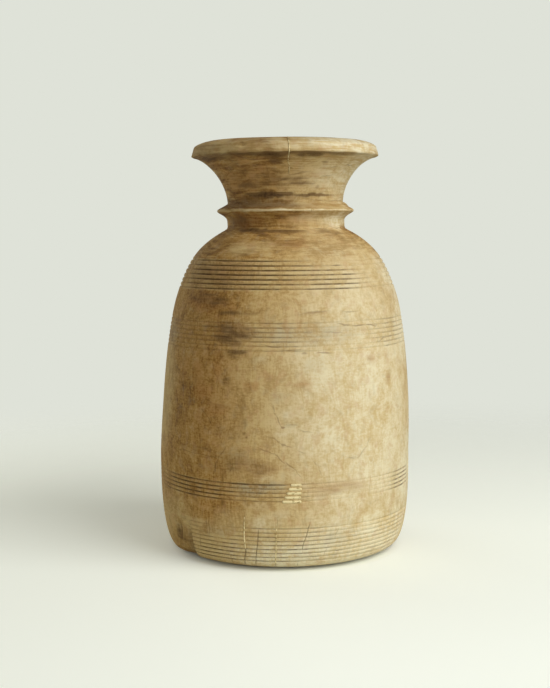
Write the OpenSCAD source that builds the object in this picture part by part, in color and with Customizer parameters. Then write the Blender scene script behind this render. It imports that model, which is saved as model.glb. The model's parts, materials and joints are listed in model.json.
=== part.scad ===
// Old turned wooden storage pot, hollowed from one block, with filled drying cracks.
// Millimetres, +Z up, origin at the middle of the foot. The front is -Y.
// Places round the pot are angles from the front, positive towards +X.

/* [Foot] */
// Radius of the flat that the pot stands on
foot_r = 92; // [86:0.5:98]
// Slope of the worn edge underneath, outside that flat, in degrees
foot_bevel = 15; // [8:1:20]
// Radius at the top of the rounded foot edge
foot_edge_r = 118; // [114:0.5:121]
// Height of the rounded foot edge
foot_edge_h = 9; // [6:0.5:12]
// Lean of the side outwards from upright above the foot edge, in degrees
foot_lean = 32; // [24:1:40]
// Radius of the shallow hollow turned under the foot
base_hollow_r = 70; // [40:1:80]
// Depth of the hollow under the foot
base_hollow = 3; // [1:0.5:6]

/* [Body] */
// Largest radius of the belly
belly_r = 128; // [122:0.5:140]
// Height of the widest point above the table
belly_h = 88; // [70:1:110]
// Radius where the belly turns into the shoulder
shoulder_r = 112; // [104:0.5:118]
// Rise from the widest point to the turn of the shoulder
shoulder_rise = 172; // [140:1:220]
// Lean of the side inwards from upright at the turn of the shoulder, in degrees
shoulder_lean = 18; // [10:1:24]
// Rise from the turn of the shoulder to the root of the neck
root_rise = 65.5; // [58:0.5:90]
// Radius of the body at the root of the neck
root_r = 61; // [56:0.5:66]
// Slope of the shoulder below level where it leaves the neck, in degrees
root_slope = 27; // [20:1:40]

/* [Neck] */
// Step in from the root of the neck to its waist
waist_step = 1.5; // [0.5:0.1:3]
// Height of the waist, from the root of the neck to the hollow under the collar
waist_h = 8.5; // [5:0.5:14]
// Distance that the collar stands out from the waist
collar_out = 10; // [7:0.5:16]
// Height of the hollow slope under the collar
collar_under_h = 9.5; // [8:0.5:16]
// Thickness of the collar's blunt tip
collar_tip = 1.8; // [1:0.1:3]
// Height of the slope on top of the collar
collar_over_h = 6; // [5:0.5:12]
// Least radius of the neck, just above the collar
neck_r = 58.5; // [55:0.5:62]
// Height of the flared neck, from the collar to the rim
neck_h = 47.5; // [38:0.5:60]

/* [Rim] */
// Largest radius of the rim, at its lower edge
rim_r = 95; // [88:0.5:104]
// Height of the rim's face
rim_h = 15.5; // [12:0.5:20]
// Distance that the rim's face leans inwards from bottom to top
rim_lean = 4.5; // [0:0.5:6]
// Height of the worn rounding on the rim's upper edges
rim_round = 6.5; // [2:0.5:8]
// Width of the lip on top of the rim
lip_w = 25.5; // [22:0.5:28]
// Distance from the mouth's edge out to the crest of the lip
crest_in = 6; // [3:0.5:7]

/* [Hollow] */
// Thickness of the body's wall, measured level
body_wall = 13; // [10:0.5:16]
// Thickness of the neck's wall, measured level
neck_wall = 11.5; // [8:0.5:14]
// Thickness of the floor at the middle of the pot
floor_t = 22; // [14:1:32]
// Radius of the flat part of the floor inside
floor_r = 70; // [50:1:80]

/* [Turned grooves] */
// Width of each groove at the surface
groove_w = 2.4; // [1.5:0.1:3.2]
// Depth of each groove, cut with a pointed tool
groove_depth = 1.1; // [0.5:0.1:1.5]
// Number of grooves in the shoulder band
shoulder_band_n = 7; // [3:1:8]
// Height between grooves in the shoulder band
shoulder_band_pitch = 4.4; // [3.8:0.1:5]
// Drop from the root of the neck to the top groove of the shoulder band
shoulder_band_drop = 29.5; // [25:0.5:36]
// Number of grooves in the upper belly band
upper_band_n = 7; // [3:1:9]
// Height between grooves in the upper belly band
upper_band_pitch = 4.3; // [3.8:0.1:5.5]
// Drop from the root of the neck to the top groove of the upper belly band
upper_band_drop = 87.5; // [76:0.5:110]
// Number of grooves in the lower belly band
lower_band_n = 5; // [3:1:8]
// Height between grooves in the lower belly band
lower_band_pitch = 4; // [3.6:0.1:4.6]
// Height of the lowest groove of the lower belly band
lower_band_z = 70.5; // [62:0.5:80]
// Number of grooves in the foot band
foot_band_n = 9; // [3:1:11]
// Height between grooves in the foot band
foot_band_pitch = 4.15; // [3.6:0.05:4.6]
// Rise from the foot edge to the lowest groove of the foot band
foot_band_rise = 1.5; // [1.5:0.5:6]

/* [Filled cracks] */
// Angle of the rim crack from the front, in degrees
rim_crack_angle = 1.5; // [-20:0.5:20]
// Width of the rim crack where it opens at the lip
rim_crack_w = 1.2; // [0.8:0.1:2.5]
// Length of the rim crack, down from the lip
rim_crack_drop = 34; // [26:1:44]
// Sideways step of the rim crack part of the way down
rim_crack_step = 1.8; // [0:0.1:3]
// Width of the filled foot cracks
foot_crack_w = 1.2; // [0.8:0.1:2.5]
// Depth of the filled foot cracks, measured level
foot_crack_depth = 9; // [5:0.5:11]
// Angle of the left foot crack from the front, in degrees
left_crack_angle = -18.5; // [-32:0.5:-15]
// Height of the left foot crack's lower end
left_crack_low = 6; // [4:0.5:15]
// Height of the left foot crack's upper end
left_crack_high = 55; // [40:0.5:64]
// Height below which the left crack's filler has fallen out
left_fill_low = 23; // [18:0.5:35]
// Angle of the right foot crack from the front, in degrees
right_crack_angle = -4; // [-9:0.5:6]
// Height of the right foot crack's lower end
right_crack_low = 7; // [4:0.5:20]
// Height of the right foot crack's upper end
right_crack_high = 50; // [36:0.5:64]
// Angle where the filler in the lower belly grooves starts, in degrees
patch_start = -1.5; // [-10:0.5:2]
// Angle that the longest groove filling covers, in degrees
patch_sweep = 8.5; // [5:0.5:14]
// Angle by which each higher filling starts further round, in degrees
patch_slant = 0.9; // [0:0.1:1]

/* [Open checks and chip] */
// Angles of the open drying checks in the foot, in degrees
check_angles = [-56, -37, -12, 8]; // [-80:0.5:80]
// Heights of the checks' lower ends
check_lows = [20, 31, 6, 20]; // [4:0.5:35]
// Heights of the checks' upper ends
check_highs = [45, 52, 44, 50]; // [40:0.5:60]
// Distances that the checks wander sideways on the way up
check_wanders = [0.5, -1, 1, 6]; // [-8:0.5:8]
// Width of an open check at its lower end
check_w = 0.9; // [0.5:0.1:1.5]
// Depth of the open checks, measured level
check_depth = 5; // [2:0.5:8]
// Angle of the chip in the foot edge from the front, in degrees
chip_angle = -62; // [-75:1:-55]
// Angle of the sharp step where the chip ends, in degrees
chip_end = -50; // [-52:1:-45]
// Depth of the chip, slantwise into the foot edge
chip_depth = 6.5; // [3:0.5:8]
// Radius of the nearly flat face that the chip left
chip_r = 300; // [200:10:400]
// Slope of the chip's face below level, in degrees
chip_slope = 30; // [20:1:45]

/* [Hidden] */

wood = "#b3925f";
pale_filler = "#d6c48f";
$fn = 96;

// Levels from the table up
shoulder_z = belly_h + shoulder_rise;
root_z = shoulder_z + root_rise;
waist_z = root_z + waist_h;
collar_z = waist_z + collar_under_h;
neck_z = collar_z + collar_tip + collar_over_h;
rim_z = neck_z + neck_h;
top_z = rim_z + rim_h;

// Radii that follow from the sizes above
waist_r = root_r - waist_step;
collar_r = waist_r + collar_out;
rim_top_r = rim_r - rim_lean;
mouth_r = rim_top_r - lip_w;
crest_r = mouth_r + crest_in;

// Steps along each long curve, and round each small edge or hollow
curve_steps = 14;
edge_steps = 5;
// A radius that clears the pot
clear_of_pot = 40;
outside_r = belly_r + clear_of_pot;
// An angle that clears the chip's far end
chip_reach = 60;

// How far each curve holds its direction as it leaves a point
bevel_hold = 10;
foot_edge_hold = 0.8 * foot_edge_h;
foot_hold = 13.6;
belly_hold_down = 38.4;
belly_hold_up = 76;
shoulder_hold_down = 28;
shoulder_hold_up = 33;
root_hold = 35.5;
collar_hold = collar_under_h / 2;
neck_hold = 20;
rim_hold = 19.4;
mouth_hold = 16;
lip_hold = 0.37 * rim_round;
crest_hold_out = 10;
crest_hold_in = 3;
throat_hold = 30;
floor_hold = 34;
// Rise of the curve under the collar's tip, under the rim and inside the mouth
collar_rise_angle = 35;
rim_rise_angle = 8;
mouth_rise_angle = 30;

// Unit vector at an angle above +X
function heading(a) = [cos(a), sin(a)];
// Curve between two points, leaving each one by the given handle
function curve(a, handle_a, handle_b, b, steps = curve_steps) = [
    for (i = [0 : steps])
        let (t = i / steps, s = 1 - t)
            s * s * s * a + 3 * s * s * t * (a + handle_a) + 3 * s * t * t * (b + handle_b) + t * t * t * b
];
// A list without its first point, so that curves join with no double point
function tail(list) = [for (i = [1 : len(list) - 1]) list[i]];
function reversed(list) = [for (i = [len(list) - 1 : -1 : 0]) list[i]];

// Outside of the body, from the foot up to the root of the neck
foot_edge = curve(
    [foot_r, 0], bevel_hold * heading(foot_bevel),
    -foot_edge_hold * heading(90 - foot_lean), [foot_edge_r, foot_edge_h], edge_steps
);
lower_side = curve(
    [foot_edge_r, foot_edge_h], foot_hold * heading(90 - foot_lean),
    [0, -belly_hold_down], [belly_r, belly_h]
);
upper_side = curve(
    [belly_r, belly_h], [0, belly_hold_up],
    -shoulder_hold_down * heading(90 + shoulder_lean), [shoulder_r, shoulder_z]
);
shoulder = curve(
    [shoulder_r, shoulder_z], shoulder_hold_up * heading(90 + shoulder_lean),
    root_hold * heading(-root_slope), [root_r, root_z]
);
body_side = concat(foot_edge, tail(lower_side), tail(upper_side), tail(shoulder));

// Outside of the neck: a waist, a thin collar, a flare and the rim's leaning face
waist = [[waist_r, root_z + waist_step]];
under_collar = curve(
    [waist_r, waist_z], [0, collar_hold],
    -collar_hold * heading(collar_rise_angle), [collar_r, collar_z], edge_steps
);
collar_tip_top = [[collar_r, collar_z + collar_tip]];
neck_flare = curve(
    [neck_r, neck_z], [0, neck_hold],
    -rim_hold * heading(rim_rise_angle), [rim_r, rim_z]
);
rim_face_angle = atan2(rim_lean, rim_h);
crest = [crest_r, top_z];
rim_edge = curve(
    [rim_top_r + rim_lean * rim_round / rim_h, top_z - rim_round], lip_hold * heading(90 + rim_face_angle),
    [crest_hold_out, 0], crest, edge_steps
);
outer_side = concat(body_side, waist, under_collar, collar_tip_top, neck_flare, rim_edge);

// Inside, from the lip down to the middle of the floor
lip_edge = tail(curve(crest, [-crest_hold_in, 0], [0, lip_hold], [mouth_r, top_z - rim_round], edge_steps));
mouth_flare = reversed(curve(
    [neck_r - neck_wall, neck_z], [0, throat_hold],
    -mouth_hold * heading(mouth_rise_angle), [mouth_r, top_z - rim_round]
));
cavity_side = [for (p = reversed(concat(upper_side, tail(shoulder)))) p - [body_wall, 0]];
cavity_floor = curve(
    [belly_r - body_wall, belly_h], [0, -floor_hold],
    [floor_hold, 0], [floor_r, floor_t], 2 * edge_steps
);
inner_side = concat(lip_edge, tail(mouth_flare), cavity_side, tail(cavity_floor), [[0, floor_t]]);

// Underneath, a shallow hollow so that the pot stands on a ring
base = [
    for (i = [0 : edge_steps])
        let (share = i / edge_steps) [base_hollow_r * share, base_hollow * (1 - share * share)]
];

// Radius of the body's outside at a height, and how far it leans in from upright there
body_table = [for (p = body_side) [p[1], p[0]]];
function body_r(z) = lookup(z, body_table);
function lean_at(z) = atan2(body_r(z - groove_w / 2) - body_r(z + groove_w / 2), groove_w);

// Heights of the grooves in each band
function band(lowest, n, pitch) = [for (i = [0 : n - 1]) lowest + i * pitch];
function band_below(highest, n, pitch) = band(highest - (n - 1) * pitch, n, pitch);
shoulder_band = band_below(root_z - shoulder_band_drop, shoulder_band_n, shoulder_band_pitch);
upper_band = band_below(root_z - upper_band_drop, upper_band_n, upper_band_pitch);
lower_band = band(lower_band_z, lower_band_n, lower_band_pitch);
foot_band = band(foot_edge_h + foot_band_rise, foot_band_n, foot_band_pitch);
groove_heights = concat(shoulder_band, upper_band, lower_band, foot_band);

// Half section of the pot before its grooves were cut
module wall_section() {
    polygon(concat(base, outer_side, inner_side));
}

// Half section of the pot as if it were solid inside
module outer_section() {
    polygon(concat(base, outer_side, [[0, top_z]]));
}

// A notch square to the surface, twice as deep and wide as the groove so that it breaks out
module groove_section(z) {
    translate([body_r(z), z]) rotate(lean_at(z))
        polygon([[-groove_depth, 0], [groove_depth, -groove_w], [groove_depth, groove_w]]);
}

module turned_blank() {
    rotate_extrude() wall_section();
}

module grooved_blank() {
    rotate_extrude() difference() {
        wall_section();
        for (z = groove_heights) groove_section(z);
    }
}

// Upright slab that runs outwards at an angle, cut to an outline of [across, height] points
module slab_at(angle, outline) {
    rotate([0, 0, angle]) rotate([90, 0, 0]) linear_extrude(outside_r) polygon(outline);
}

// All the space that is no deeper than a level distance inside the pot's outside
module outer_layer(depth) {
    rotate_extrude() difference() {
        square([outside_r, top_z]);
        translate([-depth, 0]) outer_section();
    }
}

// Outline of a crack along a path, which narrows to a third of its width
function crack_outline(path, w) = let (
    last = len(path) - 1,
    halves = [for (i = [0 : last]) [w / 2 * (1 - 2 / 3 * i / last), 0]]
) concat(
    [for (i = [0 : last]) path[i] - halves[i]],
    [for (i = [last : -1 : 0]) path[i] + halves[i]]
);

// The rim crack goes right through the wall, and steps sideways two thirds of the way down
module rim_crack() {
    step_z = top_z - rim_crack_drop * 2 / 3;
    path = [
        [0, top_z + rim_round],
        [rim_crack_step / 2, top_z - rim_crack_drop / 3],
        [rim_crack_step / 2, step_z],
        [rim_crack_step * 3 / 2, step_z - 2 * rim_crack_step],
        [rim_crack_step, top_z - rim_crack_drop]
    ];
    slab_at(rim_crack_angle, crack_outline(path, rim_crack_w));
}

// A foot crack reaches a set depth into the wall
module foot_crack(angle, low, high, w, depth, wander = 0) {
    path = [[0, low], [wander / 3, (low + high) / 2], [wander, high]];
    intersection() {
        slab_at(angle, crack_outline(path, w));
        outer_layer(depth);
    }
}

module left_foot_crack() {
    foot_crack(left_crack_angle, left_crack_low, left_crack_high, foot_crack_w, foot_crack_depth);
}

module right_foot_crack() {
    foot_crack(right_crack_angle, right_crack_low, right_crack_high, foot_crack_w, foot_crack_depth);
}

module open_checks() {
    for (i = [0 : len(check_angles) - 1])
        foot_crack(check_angles[i], check_lows[i], check_highs[i], check_w, check_depth, check_wanders[i]);
}

// Wedge of space that starts at an angle from the front and sweeps round
module wedge(start, sweep) {
    reach = outside_r / cos(sweep / 2);
    rotate([0, 0, start - 90]) linear_extrude(top_z)
        polygon([[0, 0], reach * heading(0), reach * heading(sweep)]);
}

// Face left by a flake that split off the foot edge along the grain, up to a sharp step
module foot_chip() {
    edge = [foot_edge_r - foot_edge_h / 9, foot_edge_h * 8 / 9];
    centre = edge + (chip_r - chip_depth) * heading(-chip_slope);
    intersection() {
        rotate([0, 0, chip_angle]) translate([0, -centre[0], centre[1]]) sphere(chip_r);
        wedge(chip_end - chip_reach, chip_reach);
    }
}

module turned_body() {
    color(wood) difference() {
        grooved_blank();
        rim_crack();
        left_foot_crack();
        right_foot_crack();
        open_checks();
        foot_chip();
    }
}

module rim_crack_fill() {
    color(pale_filler) intersection() {
        turned_blank();
        rim_crack();
    }
}

module left_foot_crack_fill() {
    color(pale_filler) intersection() {
        turned_blank();
        left_foot_crack();
        translate([0, 0, left_fill_low]) cylinder(h = top_z, r = outside_r);
    }
}

module right_foot_crack_fill() {
    color(pale_filler) intersection() {
        turned_blank();
        right_foot_crack();
    }
}

// Filler pressed into the lower belly grooves, with a slanting left end
module groove_fill() {
    color(pale_filler) for (i = [0 : lower_band_n - 1]) intersection() {
        rotate_extrude() intersection() {
            wall_section();
            groove_section(lower_band[i]);
        }
        wedge(patch_start + i * patch_slant, patch_sweep - i * patch_slant);
    }
}

turned_body();
rim_crack_fill();
left_foot_crack_fill();
right_foot_crack_fill();
groove_fill();
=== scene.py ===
# %% [markdown]
# # A turned wooden pot
# An old storage pot, hollowed from one block of wood on a lathe. Its belly carries four bands of
# cut grooves, its neck has a thin collar and a flared rim, and its drying cracks were once filled
# with a pale paste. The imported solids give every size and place, so they are loaded first, and
# what is built here stands where they stand.

# %% Load the solids
import json
import math

import bpy
import numpy as np
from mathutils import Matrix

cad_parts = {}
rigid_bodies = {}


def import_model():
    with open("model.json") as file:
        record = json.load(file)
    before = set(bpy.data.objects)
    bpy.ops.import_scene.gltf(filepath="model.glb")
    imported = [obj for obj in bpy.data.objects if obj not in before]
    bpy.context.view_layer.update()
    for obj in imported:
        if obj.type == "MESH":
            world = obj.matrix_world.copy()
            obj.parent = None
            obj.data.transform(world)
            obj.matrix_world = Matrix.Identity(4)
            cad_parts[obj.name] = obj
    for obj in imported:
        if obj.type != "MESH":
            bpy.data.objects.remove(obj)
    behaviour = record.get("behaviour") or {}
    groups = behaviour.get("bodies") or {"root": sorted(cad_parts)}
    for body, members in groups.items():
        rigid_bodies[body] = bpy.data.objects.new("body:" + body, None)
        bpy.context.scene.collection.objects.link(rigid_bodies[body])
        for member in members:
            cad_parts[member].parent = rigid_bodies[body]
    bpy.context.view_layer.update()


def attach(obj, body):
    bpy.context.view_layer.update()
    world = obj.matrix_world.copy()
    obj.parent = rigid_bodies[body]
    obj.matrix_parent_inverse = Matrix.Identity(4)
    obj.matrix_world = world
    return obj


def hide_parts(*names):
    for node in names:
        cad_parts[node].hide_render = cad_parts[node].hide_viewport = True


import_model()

# %% [markdown]
# ## Two small helpers
# Node trees draw the wood and cut the grooves, so one helper adds a node, sets it up and links it.
# Colours are written as they look on a screen, in sRGB hex, and a second helper turns them into
# the linear light that Blender mixes. Sizes are in millimetres, as a wood turner would write them.

# %% Helpers
MM = 0.001


def add(tree, kind, inputs=None, **settings):
    """Adds a node to a tree; inputs maps a socket's name or number to a value or to another socket."""
    node = tree.nodes.new(kind)
    for name, value in settings.items():
        setattr(node, name, value)
    for key, value in (inputs or {}).items():
        if isinstance(value, bpy.types.NodeSocket):
            tree.links.new(value, node.inputs[key])
        else:
            node.inputs[key].default_value = value
    return node


def linear(hex_colour):
    """An sRGB hex colour as linear red, green, blue and alpha."""
    parts = [int(hex_colour[i : i + 2], 16) / 255 for i in (1, 3, 5)]
    return (*(c / 12.92 if c <= 0.04045 else ((c + 0.055) / 1.055) ** 2.4 for c in parts), 1.0)


print("mid grey #808080 is", round(linear("#808080")[0], 3), "in linear light")

# %% [markdown]
# ## The outline that the turner cut
# A turned piece is one outline spun round an axis, so the outline is drawn first: out along the
# foot, up the side, over the rim, and down the inside to the floor. Bezier curves with a direction
# at each end give the same swelling and hollow lines as the solid, from a few points. Long use has
# rounded every sharp edge, so the finished outline is softened by half a millimetre.

# %% Curves with a direction at each end
def heading(degrees):
    """A step of one millimetre, so many degrees up from straight out."""
    return np.array([math.cos(math.radians(degrees)), math.sin(math.radians(degrees))])


def curve(a, handle_a, handle_b, b, steps=80):
    """A curve between two points, leaving each one by the given handle."""
    a, b = np.array(a, float), np.array(b, float)
    t = np.linspace(0, 1, steps + 1)[:, None]
    s = 1 - t
    return s**3 * a + 3 * s * s * t * (a + handle_a) + 3 * s * t * t * (b + handle_b) + t**3 * b


print("middle of a rounded corner:", curve((0, 0), (0, 5.5), (-5.5, 0), (10, 10))[40].round(2))

# %% Draw the outline
# Radius and height of the points where the outline changes its course, and other sizes, in millimetres
FOOT_R, FOOT_EDGE = 97, (118, 9)
BELLY, SHOULDER, ROOT = (128, 88), (112, 260), (61, 325.5)
WAIST_R, WAIST_Z, COLLAR = 59.5, 334, (69.5, 343.5)
COLLAR_TIP, NECK, RIM = 1.8, (58.5, 351.3), (95, 398.8)
RIM_TOP_R, TOP_Z, CREST_R, MOUTH_R = 90.5, 414.3, 71, 65
RIM_ROUND, RIM_FACE, LIP_HOLD = 6.5, 16.2, 2.4
BODY_WALL, NECK_WALL, FLOOR = 13, 11.5, (70, 22)
BASE_HOLLOW_R, BASE_HOLLOW = 70, 3
# Directions of the outline at the foot's edge and at the shoulder; each handle is a length in a direction
FOOT_HEADING, SHOULDER_HEADING = 58, 108

under = np.linspace(0, 1, 20)
base = np.stack([BASE_HOLLOW_R * under, BASE_HOLLOW * (1 - under**2)], 1)
foot_edge = curve((FOOT_R, 0), 9 * heading(12), -7 * heading(FOOT_HEADING), FOOT_EDGE)
lower_side = curve(FOOT_EDGE, 13.6 * heading(FOOT_HEADING), (0, -38.4), BELLY)
upper_side = curve(BELLY, (0, 76), -28 * heading(SHOULDER_HEADING), SHOULDER)
shoulder = curve(SHOULDER, 33 * heading(SHOULDER_HEADING), 35.5 * heading(-27), ROOT)
waist = np.array([(WAIST_R, ROOT[1] + 1.5), (WAIST_R, WAIST_Z)])
under_collar = curve((WAIST_R, WAIST_Z), (0, 4.75), -4.75 * heading(35), COLLAR)
collar_top = np.array([(COLLAR[0], COLLAR[1] + COLLAR_TIP), NECK])
neck_flare = curve(NECK, (0, 20), -19.4 * heading(8), RIM)
rim_shoulder = (RIM_TOP_R + (RIM[0] - RIM_TOP_R) * RIM_ROUND / (TOP_Z - RIM[1]), TOP_Z - RIM_ROUND)
rim_edge = curve(rim_shoulder, LIP_HOLD * heading(90 + RIM_FACE), (10, 0), (CREST_R, TOP_Z))
lip_edge = curve((CREST_R, TOP_Z), (-3, 0), (0, LIP_HOLD), (MOUTH_R, TOP_Z - RIM_ROUND))
mouth = curve((MOUTH_R, TOP_Z - RIM_ROUND), -16 * heading(30), (0, 30), (NECK[0] - NECK_WALL, NECK[1]))
cavity = np.concatenate([upper_side, shoulder])[::-1] - (BODY_WALL, 0)
floor_edge = curve((BELLY[0] - BODY_WALL, BELLY[1]), (0, -34), (34, 0), FLOOR)
floor_middle = np.array([(0, FLOOR[1])])
print("foot", 2 * FOOT_EDGE[0], "belly", 2 * BELLY[0], "rim", 2 * RIM[0], "mm wide,", TOP_Z, "mm high")

# %% Join the stretches and wear their edges
# Each stretch, and the distance between the rows of the mesh along it
stretches = (
    (base, 9), (foot_edge, 1.5), (lower_side, 3.6), (upper_side, 4.2), (shoulder, 3.2), (waist, 1.8),
    (under_collar, 1.3), (collar_top, 1.1), (neck_flare, 1.9), (rim_edge, 0.9), (lip_edge, 0.9),
    (mouth, 4), (cavity, 11), (floor_edge, 11), (floor_middle, 14),
)
OUTLINE_STEP, EDGE_WEAR = 0.1, 0.5

points = np.concatenate([p for p, _ in stretches])
keep = np.append(True, np.linalg.norm(np.diff(points, axis=0), axis=1) > 1e-6)
spacing = np.concatenate([np.full(len(p), s, float) for p, s in stretches])[keep]
points = points[keep]
run = np.append(0, np.cumsum(np.linalg.norm(np.diff(points, axis=0), axis=1)))
along = np.arange(0, run[-1], OUTLINE_STEP)
outline = np.stack([np.interp(along, run, points[:, i]) for i in (0, 1)], 1)
reach = int(4 * EDGE_WEAR / OUTLINE_STEP)
bell = np.exp(-0.5 * (np.arange(-reach, reach + 1) * OUTLINE_STEP / EDGE_WEAR) ** 2)
padded = np.pad(outline, ((reach, reach), (0, 0)), "edge")
outline = np.stack([np.convolve(padded[:, i], bell / bell.sum(), "valid") for i in (0, 1)], 1)
slope = np.gradient(outline, along, axis=0)
slope /= np.linalg.norm(slope, axis=1)[:, None]
facing = np.stack([slope[:, 1], -slope[:, 0]], 1)
top_of_rim = along[np.argmax(outline[:, 1])]
outer = (along > run[len(base)]) & (along <= top_of_rim)


def place_of(height):
    """Distance along the outline of a height on the outside."""
    rising = np.maximum.accumulate(outline[outer, 1])
    return np.interp(height, rising, along[outer])


print(f"outline {run[-1]:.0f} mm long, top of the rim at {top_of_rim:.0f} mm along it")

# %% [markdown]
# ## Rows and columns
# The mesh is a net of rows round the pot and columns up it. Plain wall needs few rows, but a groove
# needs seven close together, so rows are set by what the outline does. Cracks need the same care
# the other way: five columns run along each crack and follow its wandering path, and the columns in
# between spread evenly. A crack is then a real slit in the mesh and not a painted line.

# %% Set the rows
# Each band: its lowest groove, the step between grooves, their number and depth, how much lighter the
# wood between them is painted, as wear and as painted highlight, and the seed of their drift
BANDS = {
    "shoulder": dict(lowest=269.6, pitch=4.4, count=7, depth=1.2, ridge=0.8, seed=3),
    "upper belly": dict(lowest=212.2, pitch=4.3, count=7, depth=0.7, ridge=0.3, seed=5),
    "lower belly": dict(lowest=70.5, pitch=4.0, count=5, depth=0.8, ridge=0.4, seed=8),
    "foot": dict(lowest=10.5, pitch=4.15, count=9, depth=1.0, ridge=1.2, seed=13),
}
GROOVE_W, BAND_MARGIN = 2.4, 2.2
GROOVE_ROWS = np.array([-1.4, -1.05, -0.55, 0, 0.55, 1.05, 1.4])

rows, here = [], 0.0
while here < along[-1]:
    rows.append(here)
    here += np.interp(here, run, spacing)
rows = np.array(rows[1:])
for band in BANDS.values():
    centres = place_of(band["lowest"] + band["pitch"] * np.arange(band["count"]))
    clear = (rows < centres[0] - BAND_MARGIN) | (rows > centres[-1] + BAND_MARGIN)
    rows = np.concatenate([rows[clear], (centres[:, None] + GROOVE_ROWS).ravel()])
rows = np.sort(rows)
row_r, row_z = (np.interp(rows, along, outline[:, i]) for i in (0, 1))
row_out, row_up = (np.interp(rows, along, facing[:, i]) for i in (0, 1))
outside = (rows > run[len(base)]) & (rows <= top_of_rim)
print(len(rows), "rows,", outside.sum(), "of them outside")

# %% List the cracks
# Each crack: its path as (degrees from the front, height), its width and its depth. The chip's step has
# no depth of its own and only brings columns to the edge of the scar.
CRACKS = {
    "rim": dict(
        path=((1.5, 413), (2.1, 401.6), (2.1, 390.2), (3.6, 386.6), (2.9, 379)), width=0.85, depth=6,
    ),
    "left foot": dict(
        path=((-20, 3), (-19.6, 11), (-18.4, 20), (-18.6, 36), (-18.1, 55)), width=1.1, depth=5,
    ),
    "right foot": dict(path=((-5.2, 2), (-4.5, 22), (-4.3, 38), (-3.9, 51)), width=1.0, depth=5),
    "left check": dict(path=((-14.8, 3), (-13.6, 18), (-12.6, 30), (-12.1, 44)), width=0.8, depth=3),
    "right check": dict(path=((6.8, 20), (7.4, 28), (9.0, 38), (10.2, 50)), width=0.9, depth=3),
    "far left check": dict(path=((-37, 31), (-37.4, 42), (-37.2, 52)), width=0.7, depth=2),
    "small check": dict(path=((21.5, 33), (23.5, 42)), width=0.7, depth=2),
    "gouge": dict(path=((-59.8, 14), (-58, 29), (-56.5, 42)), width=2.8, depth=2.4),
    "chip step": dict(path=((-48.8, 0), (-48.2, 5), (-47.6, 28), (-48.4, 45)), width=0.9, depth=0),
}


def crack_angle(crack, heights):
    """Degrees from the front of a crack's path at given heights."""
    return np.interp(heights, *zip(*sorted((z, degrees) for degrees, z in crack["path"])))


print(len(CRACKS), "cracks, up to", max(crack["width"] for crack in CRACKS.values()), "mm wide")

# %% Set the columns
# A crack's own columns, in widths from its middle, and the degrees that the other columns keep from it
CRACK_COLUMNS, CRACK_CLEAR = np.array([-1.0, -0.5, 0, 0.5, 1.0]), 1.1
# The radius at which degrees on the side are counted as millimetres, and the least one that is used
UNROLL_R, NARROW_R = 118, 40
# The back is plain, so its columns are wide apart; the broken side of the foot has the closest ones
BACK_STEP, BROKEN_STEP, FRONT_STEP = 3.6, 0.9, 1.3

plain = np.concatenate([
    np.arange(-180, -90, BACK_STEP), np.arange(-90, -46, BROKEN_STEP),
    np.arange(-46, 90, FRONT_STEP), np.arange(90, 180, BACK_STEP),
])
middles = {name: np.mean([p[0] for p in crack["path"]]) for name, crack in CRACKS.items()}
crack_of, anchors = [], []
for name in sorted(middles, key=middles.get):
    plain = plain[np.abs(plain - middles[name]) > CRACK_CLEAR]
    for share in CRACK_COLUMNS:
        crack_of.append((name, share))
        anchors.append(middles[name] + np.degrees(share * CRACKS[name]["width"] / UNROLL_R))
columns = np.sort(np.concatenate([plain, anchors]))

angle = np.zeros((len(rows), len(columns)))
for i, (r, z) in enumerate(zip(row_r, row_z)):
    moved = []
    for name, share in crack_of:
        aside = np.degrees(share * CRACKS[name]["width"] / max(r, NARROW_R))
        moved.append(crack_angle(CRACKS[name], z) + aside)
    angle[i] = np.interp(columns, [-180, *anchors, 180], [-180, *moved, 180])
print(len(columns), "columns,", 2 * len(rows) * len(columns), "triangles")

# %% [markdown]
# ## Years of wear
# A new pot would be a perfect spin of the outline. This one has shrunk a little out of round, its
# thin edges are nicked, a flake has broken off the foot, and the cracks gape. Each of these is a
# depth below the turned surface, added up for every point of the net before the points are placed.
# Smooth noise from a fixed seed makes the nicks uneven in the same way on every run.

# %% Noise round the pot, and tables by height
def uneven(angles, period, seed):
    """Smooth noise from -1 to 1 round the pot, with a swing about every so many degrees."""
    knots = round(360 / period)
    values = np.random.default_rng(seed).uniform(-1, 1, knots)
    place = (angles + 180) / 360 * knots
    before = np.floor(place).astype(int)
    t = place - before
    t = t * t * (3 - 2 * t)
    return values[before % knots] * (1 - t) + values[(before + 1) % knots] * t


def by_height(table, heights):
    """A table of heights and values, read at given heights."""
    return np.interp(heights, *zip(*table))


print("a swing every 90 degrees:", uneven(np.array([-180, -90, 0, 90]), 90, 21).round(2))

# %% Knock the edges
# Edges that get knocked: height, the deepest nick, how far it reaches, degrees between nicks, seed
KNOCKED_EDGES = (
    (344.4, 1.3, 1.8, 7, 21), (399.3, 0.9, 2.2, 9, 22), (410.0, 0.7, 2.0, 8, 23), (5.0, 1.2, 3.5, 10, 24),
)
# The least knock that leaves a nick, and the finer roughness in it: share, degrees between swings, seed
NICK_LEAST, NICK_ROUGH, ROUGH_EVERY, ROUGH_SEED = 0.1, 0.4, 2.3, 40
# Single dents, and a splinter that stands up: degrees, height, half width in degrees, half height, depth
DENTS = ((22, 344.4, 1.4, 2.0, 1.2), (-26, 406, 1.4, 1.4, 1.6), (-40, 344.4, 3, 1.8, 1.0))
SPLINTER = (80, 350.5, 8, 2.6, -1.8)
# How far the pot has shrunk out of round, which way, and the height from which it has done so fully
OUT_OF_ROUND, OVAL_TURN, OVAL_FROM = 0.35, 40, 40
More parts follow.
